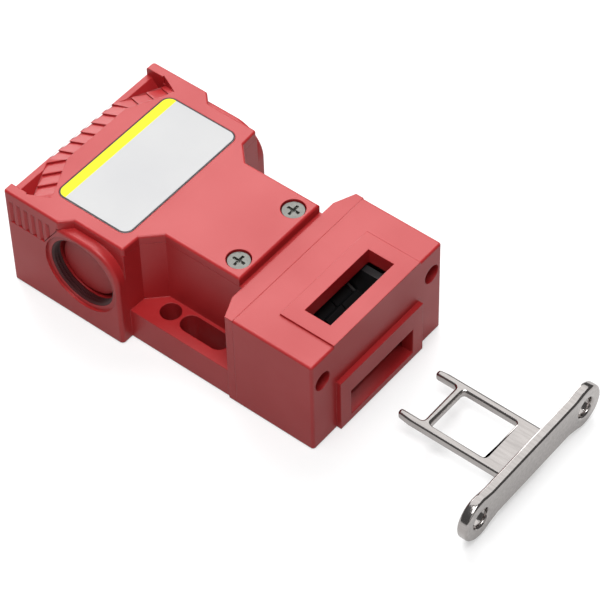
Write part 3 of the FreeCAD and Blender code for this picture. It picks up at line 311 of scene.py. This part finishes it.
def make_thread(name, mouth, outward):
    """The thread ridges of a cable entry: one zigzag profile turned round its axis, coloured dark
    red as painted shade in the bore.
    """
    foot = ENTRY_RADIUS - THREAD_GAP
    profile = []
    for turn in range(THREAD_TURNS):
        depth = THREAD_START + turn * THREAD_PITCH
        profile += [(foot, depth), (ENTRY_RADIUS - THREAD_DEPTH, depth + THREAD_PITCH / 2)]
    profile.append((foot, THREAD_START + THREAD_TURNS * THREAD_PITCH))
    side = UP.cross(outward).normalized()
    mesh = bmesh.new()
    rings = []
    for step in range(THREAD_SEGMENTS):
        angle = 2 * math.pi * step / THREAD_SEGMENTS
        arm = side * math.cos(angle) + UP * math.sin(angle)
        rings.append([mesh.verts.new(mouth + arm * radius - outward * depth)
                      for radius, depth in profile])
    for step in range(THREAD_SEGMENTS):
        ring, after = rings[step], rings[(step + 1) % THREAD_SEGMENTS]
        for index in range(len(profile) - 1):
            mesh.faces.new((ring[index], after[index], after[index + 1], ring[index + 1]))
    bmesh.ops.recalc_face_normals(mesh, faces=mesh.faces)
    piece = add_piece(name, finished_mesh(name, mesh), thread_red_painted_shade)
    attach(piece, "switch_body")


base_low, base_high = node_corners("base_housing")
make_thread("entry_thread_right", Vector((ENTRY_BACK, base_low.y, ENTRY_LEVEL)), Vector((0, -1, 0)))
make_thread("entry_thread_left", Vector((ENTRY_BACK, base_high.y, ENTRY_LEVEL)), Vector((0, 1, 0)))
make_thread("entry_thread_rear", Vector((base_low.x, 0, ENTRY_LEVEL)), Vector((-1, 0, 0)))

# ---------------------------------------------------------------- floor

FLOOR_LEVEL = -0.4 * MM
FLOOR_HALF = 3.0
FLOOR_LOOK = {"Base_Color": (0.45, 0.45, 0.45, 1), "Roughness": 0.9}
FLOOR_LIFT = 0.5      # light the floor gives off towards the camera
GLOSSY_SHARE = 0.4    # share of it that reflections see

# the patch below the housing: a straight part, and a wider part below the fixing flanges
UNDERSIDE_LEVEL = -0.3 * MM
UNDERSIDE_INSET = 1 * MM
FOOT_HALF = 18 * MM
WING_HALF = 22.6 * MM
WING_REAR, WING_FRONT = -7 * MM, 20 * MM


def make_floor():
    """A large pale floor that reads as white to the camera and keeps a soft shadow."""
    mesh = bpy.data.meshes.new("floor")
    half = FLOOR_HALF
    mesh.from_pydata([(-half, -half, 0), (half, -half, 0), (half, half, 0), (-half, half, 0)],
                     [], [(0, 1, 2, 3)])
    material, tree, shader = new_material("floor_white", **FLOOR_LOOK)
    lift = add_node(tree, "ShaderNodeEmission")
    rays = add_node(tree, "ShaderNodeLightPath")
    shown = add_node(tree, "ShaderNodeMath", operation="MULTIPLY_ADD")
    shown.inputs[1].default_value = GLOSSY_SHARE
    seen = add_node(tree, "ShaderNodeMath", operation="MULTIPLY")
    seen.inputs[1].default_value = FLOOR_LIFT
    both = add_node(tree, "ShaderNodeAddShader")
    output = tree.nodes["Material Output"]
    tree.links.new(rays.outputs["Is Glossy Ray"], shown.inputs[0])
    tree.links.new(rays.outputs["Is Camera Ray"], shown.inputs[2])
    tree.links.new(shown.outputs["Value"], seen.inputs[0])
    tree.links.new(seen.outputs["Value"], lift.inputs["Strength"])
    tree.links.new(shader.outputs["BSDF"], both.inputs[0])
    tree.links.new(lift.outputs["Emission"], both.inputs[1])
    tree.links.new(both.outputs["Shader"], output.inputs["Surface"])
    floor = add_piece("floor", mesh, material)
    floor.location.z = FLOOR_LEVEL


def make_underside():
    """A patch of plain floor under the housing, seen only through its fixing holes."""
    rear, front = base_low.x + UNDERSIDE_INSET, base_high.x - UNDERSIDE_INSET
    corners = [(rear, -FOOT_HALF), (front, -FOOT_HALF), (front, FOOT_HALF), (rear, FOOT_HALF),
               (WING_REAR, -WING_HALF), (WING_FRONT, -WING_HALF), (WING_FRONT, WING_HALF),
               (WING_REAR, WING_HALF)]
    mesh = bpy.data.meshes.new("underside")
    mesh.from_pydata([(x, y, UNDERSIDE_LEVEL) for x, y in corners], [],
                     [(0, 1, 2, 3), (4, 5, 6, 7)])
    patch = add_piece("underside", mesh, new_material("floor_shade", **FLOOR_LOOK)[0])


make_floor()
make_underside()

# ---------------------------------------------------------------- light

WORLD_LEVEL = 0.12
LIGHT_TARGET = Vector((0.03, 0.0, 0.01))
PANELS = {    # place, side length and power
    "sky_panel": ((-0.35, 0.42, 0.75), 0.65, 7.8),
    "dim_panel": ((-0.35, 0.42, 0.75), 0.9, 3.3),
    "top_panel": ((0.12, -0.22, 0.85), 0.5, 7.2),
    "rear_panel": ((-0.85, 0.5, 0.2), 0.6, 5),
    "front_fill": ((0.75, -0.35, 0.45), 0.6, 0.6),
}
BRIGHT = ("tongue_key", "lid_screws", "rating_plate")    # lit by dim_panel, not by sky_panel


def area_light(name, place, side, power):
    """A square soft light aimed at the part."""
    data = bpy.data.lights.new(name, "AREA")
    data.shape = "RECTANGLE"
    data.size = data.size_y = side
    data.energy = power
    light = bpy.data.objects.new(name, data)
    bpy.context.scene.collection.objects.link(light)
    light.location = place
    aim = (LIGHT_TARGET - Vector(place)).to_track_quat("-Z", "Y")
    light.rotation_euler = aim.to_euler()
    return light


def shine_only_on(light, names, wanted=True):
    """Lets a light reach only the named nodes, or all but them."""
    group = bpy.data.collections.new(light.name + "_group")
    for name in names:
        group.objects.link(nodes[name])
    for member in group.collection_objects:
        member.light_linking.link_state = "INCLUDE" if wanted else "EXCLUDE"
    light.light_linking.receiver_collection = group


def make_world(level):
    """An even white surround."""
    world = bpy.data.worlds.new("surround")
    world.use_nodes = True
    background = world.node_tree.nodes["Background"]
    background.inputs["Color"].default_value = (1, 1, 1, 1)
    background.inputs["Strength"].default_value = level
    bpy.context.scene.world = world


make_world(WORLD_LEVEL)
lights = {name: area_light(name, *values) for name, values in PANELS.items()}
shine_only_on(lights["sky_panel"], BRIGHT, wanted=False)
shine_only_on(lights["dim_panel"], BRIGHT)

# ---------------------------------------------------------------- camera

AZIMUTH = math.radians(40.18)
ELEVATION = math.radians(49.06)
ROLL = math.radians(-1.74)
CAMERA_PLACE = Vector((0.3091, -0.3371, 0.5228))
LENS = 173.5
SENSOR_WIDTH = 36
CLIP_END = 20


def make_camera():
    """The camera, turned by its three angles."""
    data = bpy.data.cameras.new("camera")
    data.sensor_width = SENSOR_WIDTH
    data.lens = LENS
    data.clip_end = CLIP_END
    camera = bpy.data.objects.new("camera", data)
    bpy.context.scene.collection.objects.link(camera)
    back = Vector((math.sin(AZIMUTH) * math.cos(ELEVATION),
                   -math.cos(AZIMUTH) * math.cos(ELEVATION), math.sin(ELEVATION)))
    right = UP.cross(back).normalized()
    up = back.cross(right)
    rolled_right = right * math.cos(ROLL) + up * math.sin(ROLL)
    rolled_up = up * math.cos(ROLL) - right * math.sin(ROLL)
    turn = Matrix((rolled_right, rolled_up, back)).transposed().to_4x4()
    camera.matrix_world = Matrix.Translation(CAMERA_PLACE) @ turn
    bpy.context.scene.camera = camera


make_camera()
bpy.context.scene.view_settings.view_transform = "Standard"
